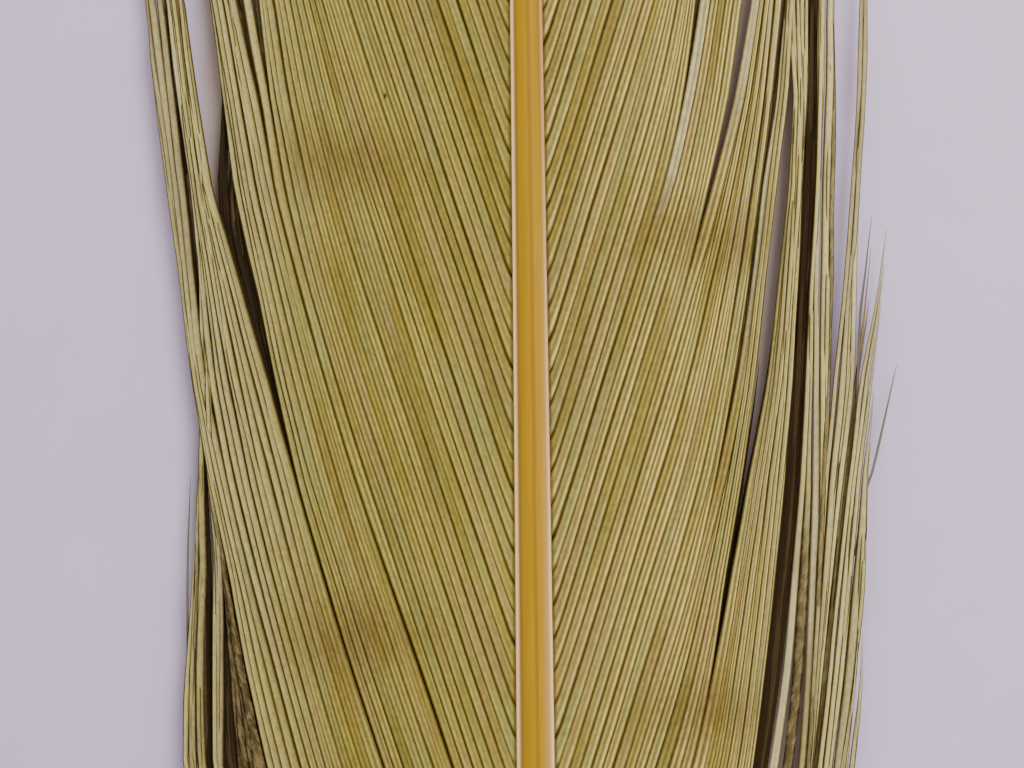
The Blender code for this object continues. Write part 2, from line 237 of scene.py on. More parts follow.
def ripple(seeds, places, wavelength):
    """Smooth repeatable noise from -1 to 1 along places, its own for each seed."""
    total = np.zeros(np.broadcast(seeds, places).shape)
    for order, (stretch, weight) in enumerate(RIPPLE_WAVES):
        phase = math.pi * wobble(seeds * 1.37 + order * 11.7)
        unevenness = 1.0 + RIPPLE_UNEVENNESS * wobble(seeds * 2.11 + order)
        rate = 2.0 * math.pi / (wavelength * stretch * unevenness)
        total = total + weight * np.sin(rate * places + phase)
    return total


def waves(kind, seeds, places):
    """A ripple given as its height, its wavelength and a salt."""
    size, wavelength, salt = kind
    return size * ripple(seeds + salt, places, wavelength)


def shaft_width(y):
    y = np.asarray(y, float)
    share = np.clip(-y / QUILL_LENGTH, 0.0, 1.0)
    belly = QUILL_SWELL * np.sin(math.pi * share)
    narrowing = (SHAFT_WIDTH_AT_VANE - QUILL_END_WIDTH) * share ** QUILL_POINT_POWER
    return SHAFT_WIDTH_AT_VANE + belly - narrowing - SHAFT_TAPER * np.maximum(y, 0.0)


def shaft_x(y):
    return -SHAFT_BEND * np.maximum(y, 0.0) ** 2


# Slits outside the worn middle: the share where they open and how far the barbs beside
# them move, each as a mean and a spread

SLIT_OPENS = (0.48, 0.16)
SLIT_MOVES = (0.35, 0.25)
VANE_END_OPENS = 0.5


def spread(mean, reach, number):
    return mean + reach * float(wobble(number))


def slits_between(start, end, salt):
    """Evenly spaced slits with a little wander, both ends left out."""
    count = round((end - start) / LOCK_SPACING)
    spacing = (end - start) / count
    slits = []
    for number in range(1, count):
        place = start + spacing * (number + LOCK_WANDER * float(wobble(salt + number)))
        opens = spread(*SLIT_OPENS, salt + 7.7 * number)
        moves_in = spread(*SLIT_MOVES, salt + 3.1 * number)
        moves_out = spread(*SLIT_MOVES, salt + 4.3 * number)
        slits.append((place, opens, moves_in, moves_out))
    return slits


def slits_of(side):
    salt = SIDES[side]["salt"]
    middle = list(PARTED_MIDDLE[side])
    foot = slits_between(0.0, middle[0][0], salt)
    top = slits_between(middle[-1][0], VANE_LENGTH, salt + foot[-1][0])
    first = [(0.0, VANE_END_OPENS, 0.0, 0.0)]
    last = [(VANE_LENGTH, VANE_END_OPENS, 0.0, 0.0)]
    return np.array(first + foot + middle + top + last)


FIRST_ROOT = 0.6
ROOT_WANDER = 0.04
TIP_CROWDING = 0.35
CROWDED_FROM = 400.0


def barb_roots(side):
    """Places on the shaft where barbs grow, closer together towards the tip."""
    pitch = SIDES[side]["pitch"]
    roots = []
    y = FIRST_ROOT
    while y < VANE_LENGTH:
        roots.append(y)
        y += pitch * (1.0 - TIP_CROWDING * float(smooth(y, CROWDED_FROM, VANE_LENGTH)))
    roots = np.array(roots)
    roots = roots + ROOT_WANDER * pitch * wobble(roots * 3.7 + SIDES[side]["salt"])
    rows = [row[0] for row in LIE[side]]
    for low, high in zip(rows, rows[1:]):
        if high - low < SLIT_ROOTS_APART:
            in_slit = (roots > low) & (roots < high)
            nearer_low = roots[in_slit] < 0.5 * (low + high)
            roots[in_slit] = np.where(nearer_low, low - SLIT_CLEARANCE, high + SLIT_CLEARANCE)
    return roots


def chosen_roots(roots, first, last, edge):
    """1 for roots from first to last, 0 for those more than an edge beyond."""
    return smooth(roots, first - edge, first) * smooth(-roots, -last - edge, -last)


MARK_EDGE = 0.2
GROWTH_EDGE = 0.4


def strength_along(stretches, roots, y):
    """How strongly each ring of each barb is marked by a table of shaded or pale barbs."""
    strength = np.zeros_like(y)
    for first, last, begins, full, most in stretches:
        chosen = chosen_roots(roots, first, last, MARK_EDGE)
        reach = np.clip((y - begins) / (full - begins), 0.0, 1.0)
        strength = np.maximum(strength, most * chosen[:, None] * reach)
    return strength


def barb_growth(side, roots):
    """How many times longer than its neighbours each barb is."""
    growth = np.ones_like(roots)
    for first, last, times in LONG_BARBS[side]:
        growth = growth + (times - 1.0) * chosen_roots(roots, first, last, GROWTH_EDGE)
    return growth


# Centre lines of the barbs

SHARES_AT_ROOT = (-0.014, 0.0, 0.004, 0.009, 0.016)
SHARES_BEYOND = (0.026, 0.985)
LENGTH_WANDER = 0.02
ROOT_ACROSS_SHAFT = 0.46
OPENING_POWER = 1.5
GUIDE_REACH = 1.6
GUIDE_STEPS = 160
OPEN_GAP = (0.1, 0.3)
WORN_FADE = 8.0
SETTLE_SHARES = (0.12, 0.42)


def barb_shares(steps):
    """Shares of a barb's length that get a ring of points. The first is inside the shaft."""
    near_root = np.array(SHARES_AT_ROOT)
    between = np.linspace(*SHARES_BEYOND, steps - len(near_root) - 1)
    return np.concatenate([near_root, between, [1.0]])


def barb_lines(side, roots, shares, uneven=1.0):
    """Centre lines of barbs seen from above: distance along, x, y and heading of each ring."""
    form = SIDES[side]
    length = interpolate(BARB_LENGTH, roots) * form["longer"]
    length = length * (1.0 + LENGTH_WANDER * uneven * wobble(roots * 5.3 + form["salt"]))
    distance = length[:, None] * shares
    root_angle = interpolate(ROOT_ANGLE_DEG, roots)[:, None]
    past_straight = np.maximum(0.0, shares - form["straight"])
    angle = form["end_angle"] + (root_angle - form["end_angle"]) * np.exp(-past_straight / form["fade"])
    angle = angle + HOOK_ANGLE * np.exp(-np.maximum(distance, 0.0) / HOOK_LENGTH)
    heading = np.radians(form["sign"] * angle) + np.arctan(-2 * SHAFT_BEND * roots)[:, None]
    step = np.diff(distance, axis=1)
    sine = np.sin(heading)
    cosine = np.cos(heading)
    x = np.zeros_like(distance)
    y = np.zeros_like(distance)
    x[:, 1:] = np.cumsum(0.5 * (sine[:, 1:] + sine[:, :-1]) * step, axis=1)
    y[:, 1:] = np.cumsum(0.5 * (cosine[:, 1:] + cosine[:, :-1]) * step, axis=1)
    x_on_shaft = shaft_x(roots) + form["sign"] * ROOT_ACROSS_SHAFT * shaft_width(roots)
    inside = -distance[:, :1]
    x = x + x_on_shaft[:, None] - inside * sine[:, :1]
    y = y + roots[:, None] - inside * cosine[:, :1]
    return distance, x, y, heading


def parting(side, roots, shares):
    """How far barbs move towards the shaft where locks part, in millimetres."""
    slits = slits_of(side)
    lock = np.clip(np.searchsorted(slits[:, 0], roots, side="right") - 1, 0, len(slits) - 2)
    low = slits[lock]
    high = slits[lock + 1]
    within = ((roots - low[:, 0]) / (high[:, 0] - low[:, 0]))[:, None]
    opening_low = np.clip((shares - low[:, 1:2]) / (1.0 - low[:, 1:2]), 0.0, None) ** OPENING_POWER
    opening_high = np.clip((shares - high[:, 1:2]) / (1.0 - high[:, 1:2]), 0.0, None) ** OPENING_POWER
    inward = (1.0 - within) * low[:, 2:3] * opening_low - within * high[:, 3:4] * opening_high
    return inward, lock, within


def lie_table(side):
    """The rows of the lie table, with nan at the heights where a barb lies as it grew."""
    blank = [math.nan] * len(LIE_HEIGHTS)
    return np.array([[row[0]] + (blank + list(row[1:]))[-len(LIE_HEIGHTS):] for row in LIE[side]])


def lie_shifts(side):
    """For each barb of the lie table, how far it is moved towards the shaft at each height."""
    table = lie_table(side)
    roots = table[:, 0]
    shares = np.linspace(0.0, GUIDE_REACH, GUIDE_STEPS)[None, :]
    distance, x, y, heading = barb_lines(side, roots, shares, uneven=0.0)
    middle = shaft_x(VIEW_CENTRE_Y)
    out = np.array([SIDES[side]["sign"] * (np.interp(LIE_HEIGHTS, y_line, x_line) - middle)
                    for x_line, y_line in zip(x, y)])
    wanted = np.where(np.isnan(table[:, 1:]), out, table[:, 1:])
    for number in range(len(roots) - 1):
        if roots[number + 1] - roots[number] < SLIT_ROOTS_APART:
            gap = wanted[number] - wanted[number + 1]
            half_barb = 0.5 * CORD_WIDTH * smooth(gap, *OPEN_GAP)
            wanted[number] += half_barb
            wanted[number + 1] -= half_barb
    return roots, out - wanted


def worn_share(side, roots):
    """1 for barbs in the worn stretch of a vane, fading to 0 a little way beyond it."""
    return chosen_roots(roots, LIE[side][0][0], LIE[side][-1][0], WORN_FADE)


def settle(side, roots, shares, y):
    """How far each ring of each barb is moved towards the shaft, with its lock and place in it."""
    inward, lock, within = parting(side, roots, shares)
    guide_roots, guide_shifts = lie_shifts(side)
    settled = np.zeros_like(y)
    for number, root in enumerate(roots):
        shift = [np.interp(root, guide_roots, column) for column in guide_shifts.T]
        settled[number] = np.interp(y[number], LIE_HEIGHTS, shift)
    settled = settled * smooth(shares, *SETTLE_SHARES)
    share_settled = worn_share(side, roots)[:, None]
    return inward * (1.0 - share_settled) + settled * share_settled, lock, within


VANE_DROP_POWER = 1.4
MOST_OF_SHAFT_DEPTH = 0.34
ROOT_HEIGHT_ON_SHAFT = 0.76
SHARE_ON_SHAFT = 0.16


def bed_height(roots, shares):
    """Height of the vane's upper surface where a barb lies."""
    depth = SHAFT_DEPTH_RATIO * shaft_width(roots)[:, None]
    under = VANE_BOTTOM_ON_SHAFT * depth * (1.0 - shares) ** VANE_DROP_POWER
    thickness = np.minimum(VANE_THICKNESS, MOST_OF_SHAFT_DEPTH * depth)
    leave = smooth(shares, 0.0, SHARE_ON_SHAFT)
    return ROOT_HEIGHT_ON_SHAFT * depth * (1.0 - leave) + (under + thickness) * leave


def add_object(name, data):
    thing = bpy.data.objects.new(name, data)
    bpy.context.scene.collection.objects.link(thing)
    return thing


def swept_mesh(name, rings, fields):
    """One closed skin around each row of rings. rings has barbs, rings, corners and xyz."""
    count, steps, corners = rings.shape[:3]
    number = np.arange(count * steps * corners).reshape(count, steps, corners)
    following = np.roll(number, -1, axis=2)
    walls = np.stack([number[:, :-1], number[:, 1:], following[:, 1:], following[:, :-1]], axis=-1)
    walls = walls.reshape(-1, 4)
    roots = number[:, 0, :].reshape(-1, corners)
    ends = number[:, -1, ::-1].reshape(-1, corners)
    mesh = bpy.data.meshes.new(name)
    corner_total = walls.size + roots.size + ends.size
    mesh.vertices.add(number.size)
    mesh.vertices.foreach_set("co", (rings * MM).astype(np.float32).ravel())
    mesh.loops.add(corner_total)
    mesh.loops.foreach_set("vertex_index", np.concatenate([walls.ravel(), roots.ravel(), ends.ravel()]))
    sizes = np.concatenate([np.full(len(walls), 4), np.full(len(roots) + len(ends), corners)])
    mesh.polygons.add(len(sizes))
    mesh.polygons.foreach_set("loop_start", np.concatenate([[0], np.cumsum(sizes)[:-1]]))
    mesh.update(calc_edges=True)
    for field, values in fields.items():
        attribute = mesh.attributes.new(field, "FLOAT", "POINT")
        full = np.broadcast_to(values, (count, steps, corners))
        attribute.data.foreach_set("value", full.astype(np.float32).ravel())
    mesh.shade_smooth()
    return add_object(name, mesh)


LEAST_APART = 0.3
BARB_END_LENGTH = 8.0
BARB_END_LEAST = 0.02
BARB_END_POWER = 0.7


def spacing_between(side, roots, x, y, heading):
    """Distance across from each barb to its neighbour on the tip side, ring by ring."""
    form = SIDES[side]
    shaft_heading = np.arctan(-2 * SHAFT_BEND * roots)[:, None]
    free = np.abs(np.sin(heading - shaft_heading)) * form["pitch"]
    spacing = free.copy()
    rows = np.array([row[0] for row in LIE[side]])
    slits = rows[:-1][np.diff(rows) < SLIT_ROOTS_APART]
    for number in range(len(roots) - 1):
        apart = roots[number + 1] - roots[number]
        beside = np.interp(y[number], y[number + 1], x[number + 1])
        across = form["sign"] * (x[number] - beside) * np.cos(heading[number])
        within = (y[number] > y[number + 1, 2]) & (y[number] < y[number + 1, -1])
        measured = across * form["pitch"] / max(apart, LEAST_APART * form["pitch"])
        most = MOST_STRETCH * free[number]
        if not np.any((slits >= roots[number]) & (slits < roots[number + 1])):
            most = np.maximum(most, WIDEST_CORD)
        spacing[number] = np.where(within, np.minimum(measured, most), free[number])
    return spacing


def barb_widths(spacing, distance):
    """Half the width of each barb at each ring."""
    width = np.maximum(spacing * BARB_OVERLAP, CORD_WIDTH)
    to_end = (distance[:, -1:] - distance) / BARB_END_LENGTH
    return 0.5 * width * np.clip(to_end, BARB_END_LEAST, 1.0) ** BARB_END_POWER


# How barbs wander, stack and roll, as height of the ripple, wavelength and salt

WANDER = (0.03, 30.0, 0)
LOOSE_WANDER = (0.05, 17.0, 5)
STACKING = (0.14, 14.0, 9)
LOOSE_ROLL = (0.30, 21.0, 3)
BARB_ROLL = 0.05
BARB_RISE = 0.012
LOOSE_SHARES = (0.35, 0.95)
LIFT_SHARES = (0.3, 0.8)
LEAST_RELIEF = 0.15
LEAST_HEIGHT = 0.02


def barb_height(side, roots, shares, seeds, distance, within):
    """Height of each barb's crest: the vane's surface, its crown and how the barbs lie on it."""
    looseness = smooth(shares, *LOOSE_SHARES)
    crown = LOCK_CROWN * np.sin(math.pi * within) * np.sin(math.pi * shares)
    stacking = looseness * (STACKING[0] + waves(STACKING, seeds, distance))
    lift = WORN_LIFT * smooth(shares, *LIFT_SHARES) * worn_share(side, roots)[:, None]
    return bed_height(roots, shares) + crown + stacking + lift + BARB_RISE * wobble(seeds * 1.9)


def barb_rings(side, x, y, height, half, roll, inner):
    """The section of a barb set at every ring, rolled about its centre line."""
    section = np.array(BARB_SECTION)
    if side == "left":
        section = section[::-1]
    slim = half / half.max(axis=1, keepdims=True)
    relief = BARB_RELIEF * np.clip(slim, LEAST_RELIEF, 1.0)
    across = section[:, 0] * half[:, :, None]
    down = section[:, 1] * relief[:, :, None]
    cosine = np.cos(roll)[:, :, None]
    sine = np.sin(roll)[:, :, None]
    sideways = across * cosine - down * sine
    below = across * sine + down * cosine
    inner_x, inner_y = inner
    rings = np.stack([
        x[:, :, None] + inner_x[:, :, None] * sideways,
        y[:, :, None] + inner_y[:, :, None] * sideways,
        np.maximum(height[:, :, None] - below, LEAST_HEIGHT),
    ], axis=-1)
    return rings, section[:, 0]


def lay_barbs(name, side, roots, shares, tucks=None, painted_darkness=None):
    """Barbs from the given roots as one piece. Deep ones have tucks: they lie lower and are painted dark as
    shade.
    """
    form = SIDES[side]
    stretched = shares * barb_growth(side, roots)[:, None]
    distance, x, y, heading = barb_lines(side, roots, stretched)
    inward, lock, within = settle(side, roots, stretched, y)
    seeds = (roots * 7.31 + form["salt"])[:, None]
    looseness = smooth(shares, *LOOSE_SHARES)
    moved = inward + waves(WANDER, seeds, distance) + looseness * waves(LOOSE_WANDER, seeds, distance)
    # Painted shade: how strongly each ring is coloured dark for the shadow of a lock or the shade of a slit
    painted_shade = strength_along(SHADED_BARBS[side], roots, y)
    if tucks is not None:
        moved = moved + tucks[:, None] * smooth(shares, *TUCK_SHARES)
        painted_shade = painted_darkness[:, None] * np.ones_like(y)
    pale = strength_along(PALE_BARBS[side], roots, y)
    inner = (-form["sign"] * np.cos(heading), form["sign"] * np.sin(heading))
    x = x + inner[0] * moved
    y = y + inner[1] * moved
    height = barb_height(side, roots, shares, seeds, distance, within)
    half = barb_widths(spacing_between(side, roots, x, y, heading), distance)
    if tucks is not None:
        height = height - DEEP_SINK
        half = half * DEEP_SLIMNESS
    roll = BARB_ROLL * wobble(seeds * 2.3) + looseness * waves(LOOSE_ROLL, seeds, distance)
    rings, across = barb_rings(side, x, y, height, half, roll, inner)
    out = form["sign"] * (rings[..., 0] - shaft_x(rings[..., 1])) - 0.5 * shaft_width(rings[..., 1])
    fields = {
        "across": across,
        "along": distance[:, :, None],
        "out": out,
        "origin": roots[:, None, None],
        "barb": wobble(seeds * 0.77)[:, :, None],
        "lock": wobble(lock * 3.3 + form["salt"])[:, None, None],
        "painted_shade": painted_shade[:, :, None],
        "pale": pale[:, :, None],
    }
    piece = swept_mesh(name, rings, fields)
    piece.data.materials.append(vane_material(side))
    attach(piece, "root")
    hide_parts("feather")


def make_vane(side, part, start, end, steps):
    """The barbs that grow between two places on the shaft, as one piece."""
    roots = barb_roots(side)
    roots = roots[(roots >= start) & (roots < end)]
    lay_barbs("vane_" + side + "_" + part, side, roots, barb_shares(steps)[None, :])


def make_deep_barbs(side):
    """Barbs laid deep in the slits and painted dark, standing for the shade there."""
    steps = barb_shares(COARSE_STEPS)
    roots = []
    shares = []
    tucks = []
    painted_darkness = []
    for slit, count, reach, tuck, painted_shade in DEEP_BARBS[side]:
        for number in range(count):
            roots.append(slit + DEEP_SPREAD * ((number + 0.5) / count - 0.5))
            shares.append(reach * steps)
            tucks.append(tuck)
            painted_darkness.append(painted_shade)
    lay_barbs("deep_" + side, side, np.array(roots), np.array(shares), np.array(tucks), np.array(painted_darkness))


# Down at the foot of the vanes: loose barbs, and the barbules on them

VANE_STARTS = 30.0
DOWN_FROM = 0.5
DOWN_TO = 46.0
DOWN_PITCH = 0.45
DOWN_STEPS = 26
DOWN_REACH = 0.97
DOWN_UNEVENNESS = 1.5
DOWN_BARB_HALF = 0.13
DOWN_WAVE = (0.7, 11.0, 0)
DOWN_LEAN = 0.5
DOWN_LOOSE_SHARES = (0.05, 0.6)
DOWN_ROOT_HEIGHT = 0.62
DOWN_BED = 0.9
DOWN_BED_WAVE = (0.35, 13.0, 2)
DOWN_FLUFF = 0.8
LEAST_DOWN_HEIGHT = 0.15
BARBULES = 70
BARBULE_SHARES = (0.06, 0.96)
BARBULE_LENGTH = 2.4
BARBULE_UNEVENNESS = 0.25
BARBULE_SHORTENING = 0.45
BARBULE_HALF = 0.05
BARBULE_ANGLE = 48.0
BARBULE_ANGLE_SPREAD = 14.0
BARBULE_BEND = 0.45
BARBULE_RISE = 0.3
LEAST_BARBULE_HEIGHT = 0.1


def triangle_rings(x, y, z, half):
    """Rings of three points around lines that run mostly level."""
    corner = 2.0 * math.pi * np.arange(3) / 3.0
    return np.stack([
        x[..., None] + half[..., None] * np.cos(corner),
        y[..., None] + 0.0 * corner,
        z[..., None] + half[..., None] * np.sin(corner),
    ], axis=-1)


def down_piece(name, rings, seeds, shares):
    fields = {"strand": wobble(seeds * 1.3)[:, None, None], "along": shares[..., None]}
    piece = swept_mesh(name, rings, fields)
    piece.data.materials.append(down_material())
    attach(piece, "root")
    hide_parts("feather")


def make_down_barbs(side):
    """Loose wavy barbs at the foot of a vane. Returns x, y, z and heading of their centre lines."""
    form = SIDES[side]
    roots = np.arange(DOWN_FROM, DOWN_TO, DOWN_PITCH)
    shares = np.linspace(0.0, DOWN_REACH, DOWN_STEPS)[None, :]
    distance, x, y, heading = barb_lines(side, roots, shares, uneven=DOWN_UNEVENNESS)
    seeds = (roots * 9.7 + form["salt"])[:, None]
    loose = smooth(shares, *DOWN_LOOSE_SHARES)
    wave = loose * waves(DOWN_WAVE, seeds, distance)
    x = x - form["sign"] * np.cos(heading) * (wave + DOWN_LEAN * loose)
    y = y + form["sign"] * np.sin(heading) * wave
    depth = SHAFT_DEPTH_RATIO * shaft_width(roots)[:, None]
    bed = DOWN_BED + waves(DOWN_BED_WAVE, seeds, distance)
    fluff = DOWN_FLUFF * (1.0 - roots / DOWN_LENGTH)[:, None] * wobble(seeds * 0.9) * (1.0 - 0.5 * shares)
    z = DOWN_ROOT_HEIGHT * depth * (1.0 - loose) + (bed + fluff) * loose
    half = DOWN_BARB_HALF * (1.05 - shares) * np.ones_like(x)
    rings = triangle_rings(x, y, np.maximum(z, LEAST_DOWN_HEIGHT), half)
    down_piece("down_" + side, rings, seeds[:, 0], shares * np.ones_like(x))
    return x, y, z, heading


def make_barbules(side, lines):
    """Fine barbules in two rows along the down barbs, whose centre lines are given."""
    places = np.linspace(*BARBULE_SHARES, BARBULES)[None, :]
    columns = places * (DOWN_STEPS - 1)
    low = np.floor(columns).astype(int)[0]
    high = np.minimum(low + 1, DOWN_STEPS - 1)
    part = columns - low
    start_x, start_y, start_z, start_heading = (
        (values[:, low] * (1.0 - part) + values[:, high] * part).ravel() for values in lines)
    number = np.arange(start_x.size)
    side_of_barb = np.where(number % 2 == 0, 1.0, -1.0)
    turn = side_of_barb * np.radians(BARBULE_ANGLE + BARBULE_ANGLE_SPREAD * wobble(number * 0.61))
    evenness = 1.0 - BARBULE_UNEVENNESS + BARBULE_UNEVENNESS * wobble(number * 0.37)
    shorter = 1.0 - BARBULE_SHORTENING * np.tile(places[0], len(lines[0]))
    run = BARBULE_LENGTH * evenness * shorter
    steps = np.array([0.0, 0.5, 1.0])[None, :]
    heading = start_heading[:, None] + turn[:, None] * (1.0 - BARBULE_BEND * steps)
    reach = run[:, None] * steps
    x = start_x[:, None] + np.sin(heading) * reach
    y = start_y[:, None] + np.cos(heading) * reach
    z = start_z[:, None] + BARBULE_RISE * steps * wobble(number * 0.83)[:, None]
    half = BARBULE_HALF * (1.1 - 0.8 * steps) * np.ones_like(x)
    rings = triangle_rings(x, y, np.maximum(z, LEAST_BARBULE_HEIGHT), half)
    down_piece("barbules_" + side, rings, number * 0.31, steps * np.ones_like(x))


# Single barbs that have come loose at the worn edges: side, half width, tint, and points
# along each as how far out from the shaft's middle and how far along the feather

LOOSE_BARBS = (
    ("right", 0.080, -0.9, ((16.20, 266.0), (16.30, 269.2), (16.48, 273.7), (16.75, 275.6), (17.10, 278.4))),
    ("right", 0.085, -0.6, ((16.20, 261.4), (16.70, 264.4), (17.00, 265.6), (17.50, 267.4), (17.95, 269.2),
                            (18.35, 271.0))),
    ("left", 0.075, -0.9, ((17.00, 252.6), (17.17, 255.6), (17.20, 259.2), (17.18, 262.6), (17.08, 265.4))),
    ("right", 0.050, -1.0, ((10.75, 269.6), (10.62, 270.6), (10.35, 271.5))),
)
LOOSE_HEIGHT = 0.9
LOOSE_DROP = 0.35
LOOSE_STEPS = 48
LOOSE_BEND_ORDER = 3
LOOSE_LEAST_WIDTH = 0.12


def make_loose_barbs():
    rings = []
    for side, half, tint, points in LOOSE_BARBS:
        out, y = np.array(points).T
        way = np.linspace(0.0, len(points) - 1.0, LOOSE_STEPS)
        order = np.arange(len(points))
        bend = np.polyfit(order, out, min(LOOSE_BEND_ORDER, len(points) - 1))
        x = shaft_x(VIEW_CENTRE_Y) + SIDES[side]["sign"] * np.polyval(bend, way)
        z = LOOSE_HEIGHT - LOOSE_DROP * smooth(way, 0.5 * way[-1], way[-1])
        width = half * np.clip(1.15 - (way / way[-1]) ** 3, LOOSE_LEAST_WIDTH, 1.0)
        rings.append(triangle_rings(x, np.interp(way, order, y), z, width))
    tints = np.array([loose[2] for loose in LOOSE_BARBS])
    piece = swept_mesh("loose_barbs", np.array(rings), {"strand": tints[:, None, None]})
    piece.data.materials.append(loose_material())
    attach(piece, "root")
    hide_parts("feather")


# Materials


def colour(red, green, blue):
    """A colour given in the 0 to 255 steps of a screen, as linear light."""
    steps = np.array([red, green, blue]) / 255.0
    linear = np.where(steps <= 0.04045, steps / 12.92, ((steps + 0.055) / 1.055) ** 2.4)
    return tuple(float(value) for value in linear) + (1.0,)


class Shading:
    """A material's node tree, with short calls for the nodes that these materials use."""

    def __init__(self, name):
        self.material = bpy.data.materials.new(name)
        self.material.use_nodes = True
        self.tree = self.material.node_tree
        self.shader = self.tree.nodes["Principled BSDF"]

    def node(self, kind):
        return self.tree.nodes.new("ShaderNode" + kind)

    def feed(self, socket, value):
        if isinstance(value, bpy.types.NodeSocket):
            self.tree.links.new(value, socket)
        else:
            socket.default_value = value

    def attribute(self, name):
        node = self.node("Attribute")
        node.attribute_name = name
        return node.outputs["Fac"]

    def place(self):
        node = self.node("TexCoord")
        return node.outputs["Object"]

    def axes(self, vector):
        node = self.node("SeparateXYZ")
        self.feed(node.inputs[0], vector)
        return node.outputs["X"], node.outputs["Y"], node.outputs["Z"]

    def vector(self, x, y, z):
        node = self.node("CombineXYZ")
        for socket, value in zip(node.inputs, (x, y, z)):
            self.feed(socket, value)
        return node.outputs[0]

    def math(self, operation, first, second=0.0):
        node = self.node("Math")
        node.operation = operation
        self.feed(node.inputs[0], first)
        self.feed(node.inputs[1], second)
        return node.outputs[0]

    def plus(self, first, second):
        return self.math("ADD", first, second)

    def minus(self, first, second):
        return self.math("SUBTRACT", first, second)

    def times(self, first, second):
        return self.math("MULTIPLY", first, second)

    def larger(self, first, second):
        return self.math("MAXIMUM", first, second)

    def line(self, value, start, slope):
        """A start value plus a slope times the value."""
        return self.plus(start, self.times(value, slope))

    def ramp(self, value, low, high):
        """0 below low, 1 above high, smooth between. Falls instead if low is above high."""
        node = self.node("MapRange")
        node.interpolation_type = "SMOOTHSTEP"
        self.feed(node.inputs["Value"], value)
        limits = {"From Min": min(low, high), "From Max": max(low, high),
                  "To Min": float(low > high), "To Max": float(low < high)}
        for name, limit in limits.items():
            node.inputs[name].default_value = limit
        return node.outputs["Result"]

    def hump(self, value, centre, reach):
        """1 at the centre, 0 beyond the reach on either side."""
        away = self.math("ABSOLUTE", self.minus(value, centre))
        return self.ramp(away, reach, 0.0)

    def noise(self, vector, scale, detail=2.0, roughness=0.5):
        node = self.node("TexNoise")
        settings = {"Vector": vector, "Scale": scale, "Detail": detail, "Roughness": roughness}
        for name, value in settings.items():
            self.feed(node.inputs[name], value)
        return node.outputs["Fac"]

    def stretched_noise(self, fields, stretches, *settings):
        """Noise over three fields, each multiplied by its stretch."""
        stretched = [self.times(field, stretch) for field, stretch in zip(fields, stretches)]
        return self.noise(self.vector(*stretched), *settings)

    def mix(self, share, first, second):
        node = self.node("Mix")
        node.data_type = "RGBA"
        self.feed(node.inputs[0], share)
        self.feed(node.inputs[6], first)
        self.feed(node.inputs[7], second)
        return node.outputs[2]

    def scaled(self, tint, factor):
        """A colour made lighter or darker by a factor."""
        node = self.node("VectorMath")
        node.operation = "SCALE"
        self.feed(node.inputs[0], tint if isinstance(tint, bpy.types.NodeSocket) else tint[:3])
        self.feed(node.inputs["Scale"], factor)
        return node.outputs[0]

    def bump(self, height, distance):
        node = self.node("Bump")
        node.inputs["Distance"].default_value = distance
        self.feed(node.inputs["Height"], height)
        self.tree.links.new(node.outputs["Normal"], self.shader.inputs["Normal"])

    def finish(self, base, roughness, **constants):
        self.feed(self.shader.inputs["Base Color"], base)
        self.feed(self.shader.inputs["Roughness"], roughness)
        for name, value in constants.items():
            self.shader.inputs[name.replace("_", " ")].default_value = value
        return self.material


# Each vane's groove colour is painted shade
VANE_COLOURS = {
    "left": {"ridge": colour(200, 182, 92), "web": colour(151, 136, 60), "groove_shade": colour(84, 69, 14)},
    "right": {"ridge": colour(242, 216, 128), "web": colour(144, 127, 60), "groove_shade": colour(92, 75, 24)},
}
# The ridges are partly the rami's own paler colour and partly painted highlight, painted stronger on the
# right vane
RIDGE_AND_HIGHLIGHT_STRENGTH = {"left": 0.55, "right": 0.85}
CORD_STRENGTH = {"left": 0.6, "right": 0.85}
EVEN_SHADE = {"left": 0.84, "right": 0.87}
OUTWARD_SHADE = {"left": -0.055, "right": 0.06}
OUTWARD_SHADE_FROM_Y = {"left": None, "right": (0.270, 0.284)}
BAR_PHASE = {"left": 281.2, "right": 277.3}
BAR_COLOUR = colour(104, 78, 34)
CORD_COLOUR = colour(208, 198, 138)
# Painted shade in the gaps between worn cords
CORD_GAP_SHADE_COLOUR = colour(70, 56, 14)
PALE_COLOUR = colour(168, 150, 110)
CREAM_COLOUR = colour(208, 197, 146)
# Painted shade in deep and shaded barbs, and the painted light where they catch a little
DEEP_SHADE_COLOUR = colour(46, 32, 8)
HALF_LIT_TWIST_COLOUR = colour(136, 114, 74)

# Long streaks of other olive tones, and how strong each may be

STREAKS = ((colour(144, 148, 84), 0.50), (colour(166, 136, 86), 0.45), (colour(132, 112, 22), 0.55))
STREAK_RANGE = (0.46, 0.66)

# Distances out from the shaft, in millimetres, over which a feature grows or fades

FAR_FROM_SHAFT = (1.5, 7.0)
CORDS_BEGIN = (8.0, 15.0)
WEAVE_FADES = (12.0, 8.5)
BARS_FADE = (8.0, 6.5)
SOFT_EDGES = (7.5, 6.0)
SHADOW_OF_SHAFT = (0.20, 0.06)

# Stretches across a barb, from -1 to 1: centre and reach

FIRST_RIDGE = (RIDGE_ACROSS, 0.40)
SECOND_RIDGE = (SECOND_RIDGE_ACROSS, 0.36)
CORD_CREST = (-0.1, 1.1)
# The valley and the edge line below are where painted shade lies
VALLEY_SHADE = (0.02, 0.34)
EDGE_SHADE = (0.46, 0.86)
PALE_RIDGE_REACH = 0.5

# Amounts as a start and a slope

WEB_GRAIN = (0.80, 0.40)
SECOND_RIDGE_OUTWARD = (0.25, 0.45)
VALLEY_SHADE_OUTWARD = (0.20, 0.40)
PALE_ON_RIDGES = (0.6, 0.4)

# Noises: the stretches of their fields if they have any, then scale, detail and roughness

